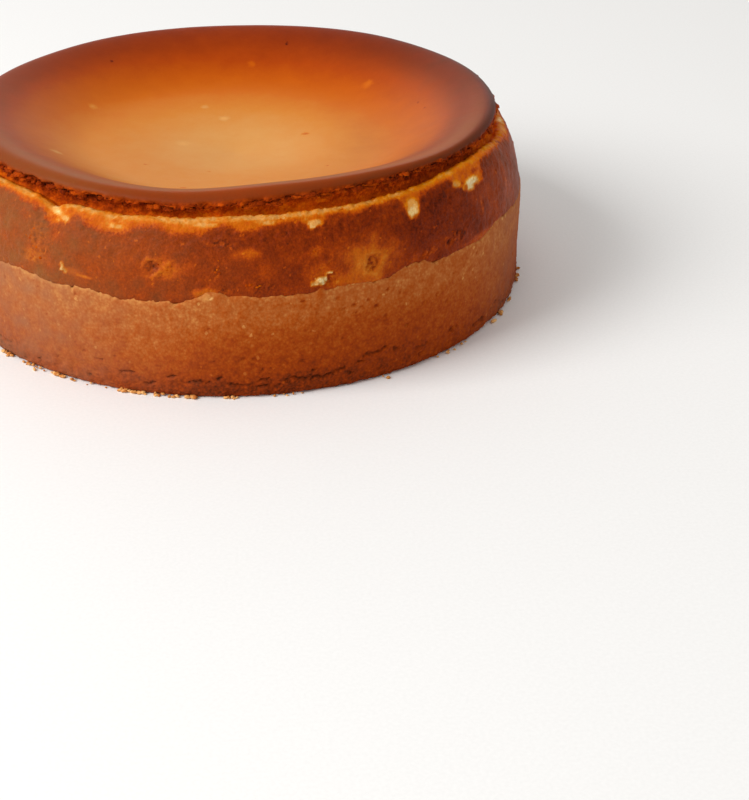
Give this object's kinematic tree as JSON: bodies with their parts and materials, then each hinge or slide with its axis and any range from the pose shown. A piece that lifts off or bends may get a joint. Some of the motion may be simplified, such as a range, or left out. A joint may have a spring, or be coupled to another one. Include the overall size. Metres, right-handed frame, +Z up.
{
  "type": "baked cheesecake",
  "caption": "Whole round baked cheesecake with a dished browned top, a rolled rim, a torn ledge and a low crumb crust round the side.",
  "frame": {"origin": "centre of the flat underside", "axes": "+Z up through the middle of the cake, -Y towards the picture's viewpoint, +X to the picture's right"},
  "size_m": [0.2324, 0.2338, 0.077],
  "materials": {
    "browned_filling": "baked cheese skin, satin, dark brown at the rim and golden in the middle",
    "crumb_crust": "baked crumb, matt and grainy, golden brown"
  },
  "bodies": {
    "root": {"cheese_filling": "browned_filling", "crumb_crust": "crumb_crust"}
  },
  "joints": []
}
